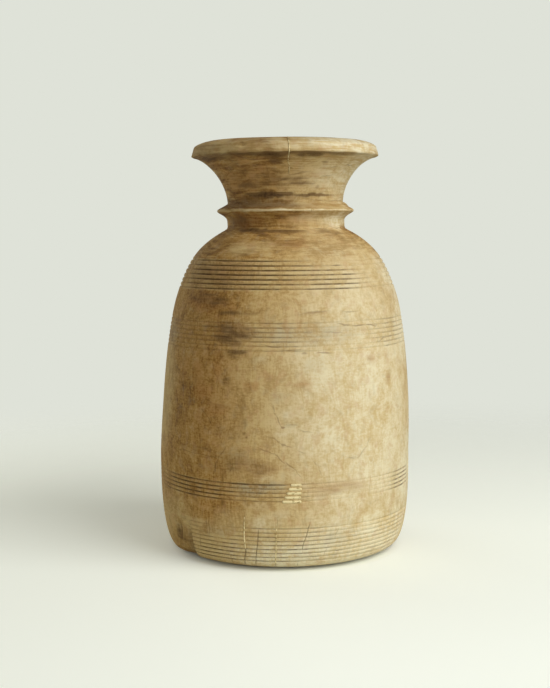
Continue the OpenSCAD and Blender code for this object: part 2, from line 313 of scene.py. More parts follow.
# The pot has dried out of true: how far its axis has moved to the right at each height
LEAN = ((100, -0.5), (150, 1.2), (250, 2.7), (320, 3.0), (340, 2.2), (390, 1.3), (400, 2.0), (414, 2.2))


def settled(places):
    """Points of a true pot, moved to where they are on the one that has dried."""
    return places + by_height(LEAN, places[..., 2])[..., None] * (1, 0, 0)


height = np.broadcast_to(row_z[:, None], angle.shape)
depth = OUT_OF_ROUND * np.cos(np.radians(2 * angle - OVAL_TURN))
depth = depth * (outside * np.clip(row_z / OVAL_FROM, 0, 1))[:, None]
for level, deepest, spread, period, seed in KNOCKED_EDGES:
    nick = np.clip(uneven(angle, period, seed) - NICK_LEAST, 0, None)
    nick = nick * (1 - NICK_ROUGH + NICK_ROUGH * uneven(angle, ROUGH_EVERY, seed + ROUGH_SEED))
    near = np.exp(-(((rows - place_of(level)) / spread) ** 2))
    depth += deepest * nick * near[:, None]
for at, level, half_w, half_h, deep in (*DENTS, SPLINTER):
    gap = np.hypot((angle - at) / half_w, (height - level) / half_h)
    depth += deep * np.clip(1 - gap**2, 0, 1) * outside[:, None]
print("deepest nick", round(float(depth.max()), 2), "mm")

# %% Open the cracks
# A crack runs out over a few millimetres at its ends, and dirt lies a little wider than the slit
CRACK_TAPER, DIRT_REACH = 4, 1.6
crack_dirt = np.zeros_like(angle)
for name, crack in CRACKS.items():
    over_rim = name == "rim"
    levels = [p[1] for p in crack["path"]]
    middle = crack_angle(crack, row_z)[:, None]
    aside = np.abs(np.radians(angle - middle)) * row_r[:, None] / (crack["width"] / 2)
    ends = np.clip((row_z - min(levels)) / CRACK_TAPER, 0, 1)
    ends = ends * np.clip((max(levels) - row_z) / CRACK_TAPER + over_rim, 0, 1)
    reached = (outside | (over_rim & (rows > top_of_rim) & (row_z > NECK[1]))) * ends
    slit = np.clip(1 - aside, 0, 1) * reached[:, None]
    depth += crack["depth"] * slit
    crack_dirt = np.maximum(crack_dirt, np.clip(DIRT_REACH - aside, 0, 1) * reached[:, None])
print("deepest crack", round(float(depth.max()), 2), "mm")

# %% Break off the flake and place the points
# The flake tore off along the fibres: its scar is deepest at a clean step and runs out to the left,
# where the wood has swollen a little
SCAR_END, SCAR_DEPTH, SCAR_HOLLOW, SCAR_EDGE, SCAR_TOP, SCAR_FADE = -63, 7, 0.6, 10, 45, 15
FIBRE_RIDGES = 0.4
SWELL_ANGLE, SWELL_W, SWELL, SWELL_EDGE, SWELL_TOP, SWELL_FADE = -66, 11, 1.8, 3, 50, 30
step_angle = crack_angle(CRACKS["chip step"], row_z)[:, None]
scar = np.clip((angle - SCAR_END) / (step_angle - SCAR_END), 0, 1) ** SCAR_HOLLOW * (angle < step_angle)
scar_rows = outside * np.clip((row_r - FOOT_R) / SCAR_EDGE, 0, 1)
scar = scar * (scar_rows * np.clip((SCAR_TOP - row_z) / SCAR_FADE, 0, 1))[:, None]
torn_by = SCAR_DEPTH + FIBRE_RIDGES * (uneven(angle, 2.2, 61) + uneven(angle, 5, 62))
swollen = SWELL * np.exp(-(((angle - SWELL_ANGLE) / SWELL_W) ** 2))
swollen_rows = outside * np.clip(row_z / SWELL_EDGE, 0, 1)
swollen = swollen * (swollen_rows * np.clip((SWELL_TOP - row_z) / SWELL_FADE, 0, 1))[:, None]
from_axis = row_r[:, None] - depth * row_out[:, None] - scar * torn_by + swollen
upward = height - depth * row_up[:, None]
turn = np.radians(angle)
spots = settled(np.stack([from_axis * np.sin(turn), -from_axis * np.cos(turn), upward], -1))
spots[..., 2] = np.maximum(spots[..., 2], 0)
print(int((scar > 0.1).sum()), "points in the scar")

# %% [markdown]
# ## Stains, wear, dust, and painted light and shade
# Some marks also paint light and shade: a shadow under the rim and the collar, light on the lit right side
# and low on the foot, and highlights on the groove ridges and the chip's broken edge.
# The colour of old wood is a record of its use: smoke and grease darken it, hands and sun wear it
# pale, and dust greys what nobody wipes. These marks sit where they sit and follow no rule, so they
# are listed as soft patches on the unrolled side, each with a place, a size and a strength.
# They go onto the mesh as attributes, and the material breaks up their edges with finer noise.

# %% Place the dark and the red marks
# Each mark: degrees from the front, height, half width in degrees, half height, strength
DARK_MARKS = (
    (-34, 369, 17, 4.2, 1.0), (-14, 359.6, 29, 3.2, 2.8), (-29, 355, 12, 5, 0.7),
    # The next two rows darken the underside of the rim: stains in places, and a painted shadow all along
    # its edge and at its left
    (-7, 397, 14, 3.2, 1.8), (-5, 392, 6, 4, 1.2), (16, 396, 13, 3.2, 1.4), (38, 397, 16, 2.4, 0.8),
    (-14, 397.8, 90, 2.0, 1.0), (-62, 395.5, 26, 3, 1.3), (-40, 391, 14, 3, 0.4),
    (5, 374.5, 22, 2.8, 0.9), (15, 370, 16, 2.4, 1.0), (0, 369, 12, 2.5, 0.7),
    (-12, 372.5, 5.5, 2, 0.8), (-12.5, 381, 1.8, 8.5, 0.6), (2, 364, 2, 2, 0.7), (31.5, 366, 3, 3, 0.5),
    (28, 358.8, 32, 2.2, 1.5), (-28, 324.6, 24, 2.4, 1.6), (0, 324, 28, 2.2, 1.3),
    (-30, 349.5, 60, 3.2, 0.6), (37.5, 324.5, 9.5, 3, 1.0), (49, 321.5, 12.5, 2, 0.8),
    (-59, 319.5, 21, 3, 0.5), (-60, 304, 18, 7.5, 0.4), (4, 312, 18, 4, 0.6), (-46, 261, 14, 7, 0.9),
    (-36, 256, 10, 8, 1.0), (-27, 246, 9, 3.5, 1.1), (-17, 247, 8, 2.5, 0.8), (-30, 232, 17, 7, 0.8),
    (-26, 225, 15, 8, 1.1), (-19, 231, 9, 5, 0.7), (-23, 210, 7, 5, 1.3), (-29, 208.5, 8, 3, 0.8),
    (-17, 208, 8, 2.5, 0.6), (-27, 182.5, 3.5, 5, 1.0), (-29.5, 157.5, 6.5, 5, 0.5),
    (-18, 143.5, 2.5, 7, 0.6), (-37, 118, 5.5, 4.5, 0.8), (-20, 114.5, 6, 6.5, 0.4),
    (-11, 101, 9, 7, 0.6), (-22, 108, 10, 10, 0.8), (-28, 112, 12, 12, 0.5), (-30, 99, 16, 9, 0.5),
    (-24, 134, 11, 9, 0.4), (20, 82, 26, 10, 0.2), (-18.5, 93.5, 2.5, 4, 0.5), (-27, 93.5, 2.5, 5, 0.5),
    (-47, 118, 10.5, 4, 0.4), (-35, 80.5, 25, 10, 0.3), (-10, 84, 11.5, 8.5, 0.15),
    (-59.8, 28, 2.6, 13, 1.0), (-57.4, 22, 2.2, 10, 0.7), (-33, 46.5, 10, 8, 0.2),
    (-20, 63.5, 7.5, 4.5, 0.2), (-53, 14, 7, 24, 0.7), (165, 250, 14, 20, 0.5), (-150, 90, 16, 14, 0.5),
    (130, 120, 8, 10, 0.6), (-110, 200, 10, 16, 0.5), (112, 306, 20, 8, 0.5), (-160, 372, 40, 6, 0.6),
    # (140, 394) is the same painted shadow under the rim at the back, and (-48, 334) darkens the waist's
    # left under the collar: a stain with painted shade in it
    (140, 394, 50, 3, 0.8), (-48, 334, 26, 10, 0.8), (-44, 284, 28, 19, 0.5),
)
RED_MARKS = (
    (-43.5, 190, 5, 16, 0.8), (-38.5, 171, 9, 14, 1.0), (-15, 179, 6, 6, 0.8), (-32, 195, 4, 19, 0.9),
    (-31.5, 154, 8, 10, 0.9), (-52, 188.5, 8, 22, 0.6), (-46, 258, 18, 12, 1.0), (-34, 252, 14, 9, 0.9),
    (-39, 334, 27, 10, 1.3), (1, 334, 15, 7, 0.6), (16, 335, 26, 9, 0.5), (-61.5, 389.5, 24, 10, 0.6),
    (-22.5, 385, 26, 13, 0.8), (-45, 372, 36, 22, 0.8), (-4, 376, 38, 22, 0.45),
    (-52, 334, 24, 10, 0.6), (-28.5, 97.5, 6, 10.5, 0.5), (-35, 61, 15, 9, 0.5),
    (-10.5, 63.5, 9.5, 7, 0.3), (53, 181, 4, 9, 0.8), (7.5, 179, 6, 7, 0.8), (42, 201, 4, 7, 0.6),
    (-20, 142, 3, 8, 0.3), (-51, 229, 14, 17, 0.4), (8, 312, 14, 6, 0.8), (22, 82, 22, 9, 0.6),
    # (-36, 180) browns the whole left of the belly, the side away from the lamp: browner wood, with painted
    # shade in it
    (-36, 180, 24, 130, 0.45), (150, 200, 22, 60, 0.5), (-124, 120, 26, 60, 0.5),
    (-11, 102, 13, 9, 0.6), (-27, 228, 18, 14, 0.6), (-38, 284, 32, 20, 0.6), (-34, 66, 22, 40, 0.4),
    (10, 95.5, 8.5, 7.5, 0.3), (13.5, 67, 9, 6.5, 0.3), (-32, 131, 6.5, 9, 0.4),
)
print(len(DARK_MARKS), "dark and", len(RED_MARKS), "red marks")

# %% Place the dust and the pale places
GREY_MARKS = (
    (-23, 231, 13.5, 16.5, 0.4), (-70.5, 224, 13, 15.5, 0.7), (40.5, 200.5, 2.5, 6, 0.5),
    (54, 185.5, 3, 8.5, 0.6), (1, 350, 87.5, 4, 0.5), (16, 356.5, 38, 3, 0.4), (-12, 83, 14, 8, 1.1),
    (-29.5, 38, 11.5, 9, 0.5), (-12, 103, 6.5, 9.5, 0.5), (-4, 171, 4, 11.5, 0.4),
    (2.5, 143.5, 4, 3, 0.6), (31, 109, 6, 4, 0.5), (12, 228, 34, 15, 0.65), (-14, 226, 12, 13, 0.5),
    (29, 303, 19, 7.5, 0.4), (24, 35, 13, 10, 0.5), (23.5, 79.5, 17, 9, 0.4), (-87, 282.5, 6, 16, 0.5),
    (25, 188.5, 2.5, 5.5, 0.35), (3, 172.5, 3, 8, 0.3), (13, 199.5, 7, 12.5, 0.35),
    (59.5, 157.5, 6.5, 8.5, 0.4), (41, 150.5, 4.5, 7, 0.35), (-72, 413, 14.5, 2, 0.5),
    (-24, 410.5, 36, 3, 0.5), (33.5, 325.5, 11.5, 2, 0.5), (-20, 114.5, 3.5, 5.5, 0.5),
    (23, 150.5, 4, 9.5, 0.3),
)
LIGHT_MARKS = (
    # The broad marks at the right of the belly, shoulder and neck lie where the lamp falls: bleached wood,
    # with painted light in it
    (30, 150, 68, 230, 1.0), (40, 290, 66, 45, 0.75), (52, 374, 66, 42, 1.4), (-76, 165, 19, 76, 0.85),
    (35, 407, 60, 14, 1.0), (-46, 406, 60, 12, 0.7), (48, 334, 56, 11, 1.3), (0, 344.6, 180, 1.8, 1.0),
    (0, 399.4, 180, 1.6, 0.5), (-19, 199.5, 5.5, 6, 0.6), (-20, 308, 27, 9, 0.7),
    (-24, 378, 46, 26, 0.25), (-21, 125.5, 3.5, 3.5, 0.5), (-25, 172.5, 4.5, 6.5, 0.5),
    # (-46, 24) lightens the broken edge at the chip's step: worn wood with a painted highlight
    (-8, 30, 36, 46, 1.1), (-46, 24, 2.4, 22, 1.2), (-66, 40, 30, 40, 0.6), (-24, 12, 40, 20, 1.0),
    (132, 150, 66, 230, 0.7), (-140, 160, 60, 230, 0.5), (150, 300, 80, 40, 0.5),
    (170, 30, 90, 46, 0.5), (150, 372, 70, 40, 0.6),
)
PALE_MARKS = (
    # (38, 150) pales the right of the belly as well: bleached wood, with painted light where the lamp falls
    (38, 150, 52, 200, 0.95), (80, 380, 48, 40, 0.9), (62, 334, 32, 11.5, 1.1), (50, 407, 54, 12, 1.1),
    (40, 275, 48, 40, 0.35), (1, 152.5, 6, 16.5, 0.6), (-10.5, 64.5, 7, 7.5, 0.4),
    (-1, 225, 6, 11, 0.5), (-10, 203.5, 4.5, 5, 0.5), (-1, 134.5, 6, 6.5, 0.6), (-8, 93.5, 7, 5, 0.5),
    # (48, 30) and (24, 14), and (58, 12) further down, pale the right of the foot: pale wood, with painted
    # light from the bright floor
    (48, 30, 62, 52, 1.1), (75, 80, 24, 70, 1.2), (76, 230, 20, 60, 1.2), (24, 14, 66, 28, 1.2),
    (10, 407, 28, 8, 0.5), (22, 137, 8, 14, 0.7), (100, 150, 44, 200, 0.8), (104, 290, 40, 40, 0.5),
    (72, 278, 24, 26, 0.9), (-9, 45, 14, 14, 0.6), (-12, 14, 26, 18, 0.7), (46, 376, 40, 24, 0.6),
    (20, 344.4, 80, 1.5, 1.0), (26, 338, 24, 8, 0.5), (-1, 57, 9, 8, 0.5), (62, 226, 42, 16, 0.7),
    (58, 12, 30, 24, 0.8),
)
print(len(GREY_MARKS), "dusty,", len(LIGHT_MARKS), "light and", len(PALE_MARKS), "pale marks")

# %% Place the worn grooves and the grimy ones
WORN_MARKS = (
    (26, 224, 22, 20, 0.75), (-20.5, 226, 6, 20, 0.6), (62, 283, 28, 20, 0.5), (-72, 283, 9, 20, 0.5),
    (33, 76, 27, 17, 0.9), (-18, 74, 7, 12, 0.25), (-64, 26, 15, 34, 1.1), (-31, 40, 14, 10, 0.8),
    (33, 40, 18, 10, 0.6), (30, 297, 26, 7, 0.55), (-45, 231, 5, 6, 0.4),
)
GRIMY_GROOVES = (
    (-25, 284, 52, 26, 1.5), (24, 279, 30, 18, 1.0), (-12, 226, 60, 20, 0.5), (62, 226, 20, 20, 0.5),
    (-14, 87, 24, 4, 1.3), (-45, 77, 30, 16, 1.2), (66, 76, 18, 16, 0.8), (-6, 24, 60, 30, 0.6),
    (-12, 76, 22, 12, 0.7), (150, 284, 95, 26, 0.8), (-130, 284, 60, 26, 0.8), (150, 78, 80, 16, 0.7),
    (-130, 78, 60, 16, 0.7), (150, 24, 80, 30, 0.6), (-130, 24, 60, 30, 0.6), (150, 226, 80, 20, 0.5),
    (-130, 226, 60, 20, 0.5), (60, 26, 28, 24, 0.2), (-30, 14, 24, 18, 1.1), (-6, 10, 30, 14, 0.7),
    (20, 18, 30, 18, 0.4),
)
print(len(WORN_MARKS), "worn and", len(GRIMY_GROOVES), "grimy stretches")

# %% Spread the marks over the net
# Marks go by the place on the pot as it is now, dried out of true. Slow noises that slant up the side
# pull them out of shape, by so many degrees and millimetres, but a small mark by less
seen_angle = np.degrees(np.arctan2(spots[..., 0], -spots[..., 1]))
PULL_TURN, PULL_UP, PULL_SHARE = 1.3, 2.6, 0.2
pull_turn = PULL_TURN * (uneven(angle + 0.35 * height, 7, 71) + uneven(angle - 0.5 * height, 4, 72))
pull_up = PULL_UP * (uneven(angle - 0.3 * height, 7, 73) + uneven(angle + 0.6 * height, 4, 74))


def painted(marks):
    """How strongly a list of marks covers each point of the net."""
    cover = np.zeros_like(angle)
    for at, level, half_w, half_h, strength in marks:
        aside = (seen_angle - at + 180) % 360 - 180 + pull_turn * min(1, PULL_SHARE * half_w / PULL_TURN)
        above = height - level + pull_up * min(1, PULL_SHARE * half_h / PULL_UP)
        gap = np.hypot(aside / half_w, above / half_h)
        cover = np.maximum(cover, strength * np.clip(1 - gap**2, 0, 1))
    return cover * outside[:, None]


print("marks are pulled by up to", round(float(np.abs(pull_up).max()), 1), "mm")

# %% Gather what the wood reads from the mesh
# How strongly the grain and the lines round the pot show at each height; hands have smoothed the
# right side of the belly
GRAIN_BY_HEIGHT = (
    (0, 1.0), (294, 1.0), (302, 0.65), (344, 0.65), (358, 0.75), (395, 0.75), (402, 0.5), (414, 0.5),
)
STREAK_BY_HEIGHT = (
    (0, 0.25), (294, 0.25), (302, 1.3), (325, 1.3), (335, 1.2), (344, 1.2), (346, 2.4), (352, 2.4),
    (358, 1.6), (392, 1.6), (402, 2.2), (414, 2.2),
)
HANDLED_FROM, HANDLED_TO, HANDLED_TOP, SMOOTHED = -20, 30, 300, 0.35
handled = np.clip((seen_angle - HANDLED_FROM) / (HANDLED_TO - HANDLED_FROM), 0, 1) * (height < HANDLED_TOP)
# A height that no band reaches, for the inside, and the flattest slope that a groove's width is set by
NO_BAND, FLATTEST = -100, 0.2

attributes = {
    "dark": painted(DARK_MARKS),
    "red": painted(RED_MARKS),
    "grey": painted(GREY_MARKS),
    "light": painted(LIGHT_MARKS),
    "pale": painted(PALE_MARKS),
    "wear": np.clip(painted(WORN_MARKS), 0, 1),
    "grime": painted(GRIMY_GROOVES),
    "grain": by_height(GRAIN_BY_HEIGHT, height) * (1 - SMOOTHED * handled),
    "streak": by_height(STREAK_BY_HEIGHT, height) * (1 - SMOOTHED * handled),
    "crack": crack_dirt,
    "groove": np.zeros_like(angle),
    "inside": np.broadcast_to((rows > top_of_rim)[:, None], angle.shape),
    "height": np.where(outside[:, None], height, NO_BAND) * MM,
    "steep": np.broadcast_to(1 / np.maximum(np.abs(row_out), FLATTEST)[:, None], angle.shape),
}
# The wood between the grooves of a band is painted lighter: worn wood, and a painted highlight on the
# ridges
ridges = np.zeros_like(rows)
for band in BANDS.values():
    top = band["lowest"] + band["pitch"] * (band["count"] - 1)
    in_band = (row_z > band["lowest"] - BAND_MARGIN) & (row_z < top + BAND_MARGIN)
    ridges = np.maximum(ridges, band["ridge"] * in_band)
attributes["ridge"] = ridges[:, None] * outside[:, None] * (1 - attributes["wear"])
print({name: f"{100 * np.mean(grid > 0.05):.0f}%" for name, grid in attributes.items()})

# %% Make the turned body's mesh
def spun_mesh(name, net, low_pole, high_pole):
    """A closed mesh from rows of points round the axis, with a fan of triangles at each pole."""
    n_rows, n_cols = net.shape[:2]
    near = np.arange(n_cols)
    far = (near + 1) % n_cols
    quads = []
    for low in range(0, (n_rows - 1) * n_cols, n_cols):
        high = low + n_cols
        quads.append(np.stack([low + near, low + far, high + far, high + near], 1))
    first, last = n_rows * n_cols, n_rows * n_cols + 1
    top = (n_rows - 1) * n_cols
    faces = np.concatenate(quads).tolist()
    faces += [(first, far[j], near[j]) for j in range(n_cols)]
    faces += [(last, top + near[j], top + far[j]) for j in range(n_cols)]
    mesh = bpy.data.meshes.new(name)
    mesh.from_pydata([*net.reshape(-1, 3).tolist(), low_pole, high_pole], [], faces)
    mesh.shade_smooth()
    return mesh


pot_mesh = spun_mesh("turned_body_looks", spots * MM, (0, 0, BASE_HOLLOW * MM), (0, 0, FLOOR[1] * MM))
for name, grid in attributes.items():
    layer = pot_mesh.attributes.new(name, "FLOAT", "POINT")
    layer.data.foreach_set("value", np.append(grid.ravel(), (0, 0)).astype(np.float32))
out, up = row_out[:, None], np.broadcast_to(row_up[:, None], angle.shape)
normals = np.stack([out * np.sin(turn), -out * np.cos(turn), up], -1)
layer = pot_mesh.attributes.new("turn_normal", "FLOAT_VECTOR", "POINT")
layer.data.foreach_set("vector", np.append(normals.ravel(), np.zeros(6)).astype(np.float32))
turned = bpy.data.objects.new("turned_pot", pot_mesh)
bpy.context.scene.collection.objects.link(turned)
print("body:", len(pot_mesh.vertices), "points,", len(pot_mesh.polygons), "faces")

# %% [markdown]
# ## Old turned hardwood
# The block was a whole log, so its rings are upright tubes round a pith that is off the pot's axis.
# Where the wall runs upright the rings show as lines up the side, and where the shoulder and the
# neck slant through them they open into arcs and streaks. One pattern gives all of that: noise that
# depends only on the distance from the pith. Fibres, blotches, pores and hairline cracks come next,
# then the marks placed above. The surface is dry and worn, so it is rough, with no polish left.

# %% Name the colours and sizes of the wood
WOOD_HEX = {
    "shade": "#70522a", "brown": "#946f38", "tan": "#af8a4d", "light": "#cab37f", "pale": "#e0d8b8",
    "dry": "#b89b64", "red": "#865826", "rust": "#b3864f", "pink": "#b78f66", "grey": "#a2977b",
    "dark": "#3d2b18", "smudge": "#6f5433", "vein": "#634727", "grime": "#46341e", "inside": "#5f452a",
}
WOOD = {name: linear(code) for name, code in WOOD_HEX.items()}
# Sizes in millimetres: a year's ring, a bundle of fibres, a line of the turning tool, a smear along
# such lines, a blotch, a mottle and a pore. Rings, tool lines and pores are really finer; these are
# as coarse as shows from here.
RING_W, FIBRE_W, TOOL_LINE_H, SMEAR_H = 2.6, 1.4, 1.6, 4
BLOTCH_W, MOTTLE_W, PORE_W = 32, 8, 1.8
# The pith is off the axis, and the log's grain bends by so much about every so many millimetres
PITH_ANGLE, PITH_OUT, BEND, BEND_EVERY = 40, 14, 9, 38


def weighed(tree, middle, *parts):
    """A middle value plus each pattern's swing from its mean times a weight."""
    total = middle - 0.5 * sum(weight for _, weight in parts)
    for pattern, weight in parts:
        step = {0: pattern, 1: weight, 2: total}
        total = add(tree, "ShaderNodeMath", step, operation="MULTIPLY_ADD").outputs[0]
    return total


def coat(tree, under, colour, cover, low, high, most=1.0):
    """A coat of colour over another, from where its cover passes low to where it is full at high."""
    span = {"Value": cover, "From Min": low, "From Max": high, "To Max": most}
    share = add(tree, "ShaderNodeMapRange", span, interpolation_type="SMOOTHSTEP").outputs["Result"]
    return add(tree, "ShaderNodeMix", {0: share, 6: under, 7: colour}, data_type="RGBA").outputs[2]


def sway(tree, place, by, every):
    """A step to any side of a place, by up to so many millimetres, with a swing about every so many."""
    noise = {"Vector": place, "Scale": 1 / (every * MM), "Detail": 2.0}
    noise = add(tree, "ShaderNodeTexNoise", noise).outputs["Color"]
    noise = {0: noise, 1: (0.5, 0.5, 0.5)}
    noise = add(tree, "ShaderNodeVectorMath", noise, operation="SUBTRACT").outputs[0]
    return add(tree, "ShaderNodeVectorMath", {0: noise, "Scale": 2 * by * MM}, operation="SCALE").outputs[0]


print(len(WOOD), "colours of wood, rings", RING_W, "mm wide")

# %% Say where a point is in the log
# Dry hardwood that was turned, not polished: a dull, warm brown with fine lines up the grain and round
# the pot, which breaks up the light instead of mirroring it
wood = bpy.data.materials.new("old_dry_turned_hardwood")
wood.use_nodes = True
tree = wood.node_tree
surface = tree.nodes["Principled BSDF"]

spot = add(tree, "ShaderNodeTexCoord").outputs["Object"]
bend = sway(tree, spot, BEND, BEND_EVERY)
bent = add(tree, "ShaderNodeVectorMath", {0: spot, 1: bend}, operation="ADD").outputs[0]
pith_turn = math.radians(PITH_ANGLE)
pith = (PITH_OUT * MM * math.sin(pith_turn), -PITH_OUT * MM * math.cos(pith_turn), 0)
from_pith = add(tree, "ShaderNodeVectorMath", {0: bent, 1: pith}, operation="SUBTRACT").outputs[0]
level_gap = {0: from_pith, 1: (1, 1, 0)}
level_gap = add(tree, "ShaderNodeVectorMath", level_gap, operation="MULTIPLY").outputs[0]
pith_gap = add(tree, "ShaderNodeVectorMath", {0: level_gap}, operation="LENGTH").outputs["Value"]
# Ways to draw a pattern out: the place that it reads, and the share of each step along x, y and z
drawn_out = {}
for name, place, share in (
    ("up grain", bent, (1, 1, 0.05)), ("along grain", bent, (1, 1, 0.8)),
    ("round pot", spot, (0.06, 0.06, 1)), ("flat", spot, (0.55, 0.55, 1)), ("wiped", bent, (0.15, 0.15, 1)),
):
    drawn = {0: place, 1: share}
    drawn_out[name] = add(tree, "ShaderNodeVectorMath", drawn, operation="MULTIPLY").outputs[0]
print("pith at", [round(c, 4) for c in pith], "and patterns drawn out", ", ".join(drawn_out))

# %% Grow the rings, fibres, tool lines, blotches and pores
rings = {"W": pith_gap, "Scale": 1 / (RING_W * MM), "Detail": 4.0, "Roughness": 0.6}
rings = add(tree, "ShaderNodeTexNoise", rings, noise_dimensions="1D").outputs[0]
# Each other pattern: how it is drawn out, the size of its marks, and how detailed and how rough it is
PATTERNS = {
    "fibres": ("up grain", FIBRE_W, 3.0, 0.5), "tool lines": ("round pot", TOOL_LINE_H, 3.0, 0.5),
    "smears": ("wiped", SMEAR_H, 4.0, 0.6), "blotches": ("along grain", BLOTCH_W, 4.0, 0.5),
    "mottle": ("along grain", MOTTLE_W, 5.0, 0.5), "pores": ("flat", PORE_W, 4.0, 0.6),
}
noises = {}
for name, (way, size, detail, roughness) in PATTERNS.items():
    noise = {"Vector": drawn_out[way], "Scale": 1 / (size * MM), "Detail": detail, "Roughness": roughness}
    noises[name] = add(tree, "ShaderNodeTexNoise", noise).outputs
fibres, tool_lines, smears, blotches, mottle, pores = (outputs[0] for outputs in noises.values())
tints = add(tree, "ShaderNodeSeparateColor", {0: noises["mottle"]["Color"]}).outputs
print("patterns: rings,", ", ".join(PATTERNS))

# %% Mix the bare wood
grain = add(tree, "ShaderNodeAttribute", attribute_name="grain").outputs["Fac"]
streak = add(tree, "ShaderNodeAttribute", attribute_name="streak").outputs["Fac"]
fine = weighed(tree, 0.0, (rings, 0.3), (fibres, 0.5), (pores, 0.75), (mottle, 0.45))
across = weighed(tree, 0.0, (tool_lines, 0.6), (smears, 0.5), (rings, 0.15))
coarse = weighed(tree, 0.5, (blotches, 0.5))
tone = add(tree, "ShaderNodeMath", {0: fine, 1: grain, 2: coarse}, operation="MULTIPLY_ADD").outputs[0]
tone = add(tree, "ShaderNodeMath", {0: across, 1: streak, 2: tone}, operation="MULTIPLY_ADD").outputs[0]
shades = add(tree, "ShaderNodeValToRGB", {0: tone})
steps = ((0.2, "shade"), (0.4, "brown"), (0.56, "tan"), (0.95, "light"))
while len(shades.color_ramp.elements) < len(steps):
    shades.color_ramp.elements.new(0.5)
for element, (place, name) in zip(shades.color_ramp.elements, steps):
    element.position = place
    element.color = WOOD[name]
dirt_lines = add(tree, "ShaderNodeMath", {0: 1.0, 1: smears}, operation="SUBTRACT").outputs[0]
dirt_lines = add(tree, "ShaderNodeMath", {0: dirt_lines, 1: streak}, operation="MULTIPLY").outputs[0]
colour = coat(tree, shades.outputs["Color"], WOOD["vein"], dirt_lines, 0.5, 1.0, 0.55)
print("bare wood:", len(tree.nodes), "nodes")

# %% Lay the stains, the wear, the dust and the painted light and shade over the wood
cover = {}
for name in ("dark", "red", "grey", "light", "pale", "grime", "crack", "groove", "ridge", "inside"):
    cover[name] = add(tree, "ShaderNodeAttribute", attribute_name=name).outputs["Fac"]
ragged = weighed(tree, 1.0, (blotches, 0.8), (mottle, 1.4), (pores, 0.6), (fibres, 0.5), (smears, 1.4))
soft = weighed(tree, 1.0, (blotches, 0.4), (mottle, 0.35))
smeared = weighed(tree, 1.0, (smears, 2.4), (tool_lines, 1.6), (mottle, 1.2), (pores, 0.8))
torn = {}
for name in ("dark", "red", "grey", "light", "pale", "ridge"):
    edge = {"light": soft, "pale": soft, "dark": smeared}.get(name, ragged)
    torn[name] = add(tree, "ShaderNodeMath", {0: cover[name], 1: edge}, operation="MULTIPLY").outputs[0]
# A coat hides part of the grain, so the bare wood's own light and dark goes into the pale coats too
faded = add(tree, "ShaderNodeMapRange", {"Value": tone, "From Min": 0.2, "From Max": 0.8}).outputs["Result"]
light = coat(tree, WOOD["dry"], WOOD["light"], faded, 0.1, 0.8)
pale = coat(tree, WOOD["light"], WOOD["pale"], faded, 0.0, 0.8)
# Painted highlight on the ridges between the grooves, over wood that is worn lighter there too
colour = coat(tree, colour, WOOD["light"], torn["ridge"], 0.1, 1.2, 0.6)
colour = coat(tree, colour, light, torn["light"], 0.0, 0.8, 0.75)
colour = coat(tree, colour, pale, torn["pale"], 0.0, 1.2, 0.9)
colour = coat(tree, colour, WOOD["pink"], tints["Green"], 0.52, 0.7, 0.3)
colour = coat(tree, colour, WOOD["grey"], tints["Blue"], 0.53, 0.7, 0.18)
red = coat(tree, WOOD["red"], WOOD["rust"], faded, 0.0, 0.8)
colour = coat(tree, colour, red, torn["red"], 0.0, 1.2, 0.75)
dust = coat(tree, WOOD["shade"], WOOD["grey"], faded, 0.0, 0.6)
colour = coat(tree, colour, dust, torn["grey"], 0.0, 1.2, 0.6)
dark = coat(tree, WOOD["dark"], WOOD["smudge"], faded, 0.0, 0.8)
colour = coat(tree, colour, dark, torn["dark"], 0.05, 1.3, 0.85)
print("coats with torn edges:", ", ".join(torn))

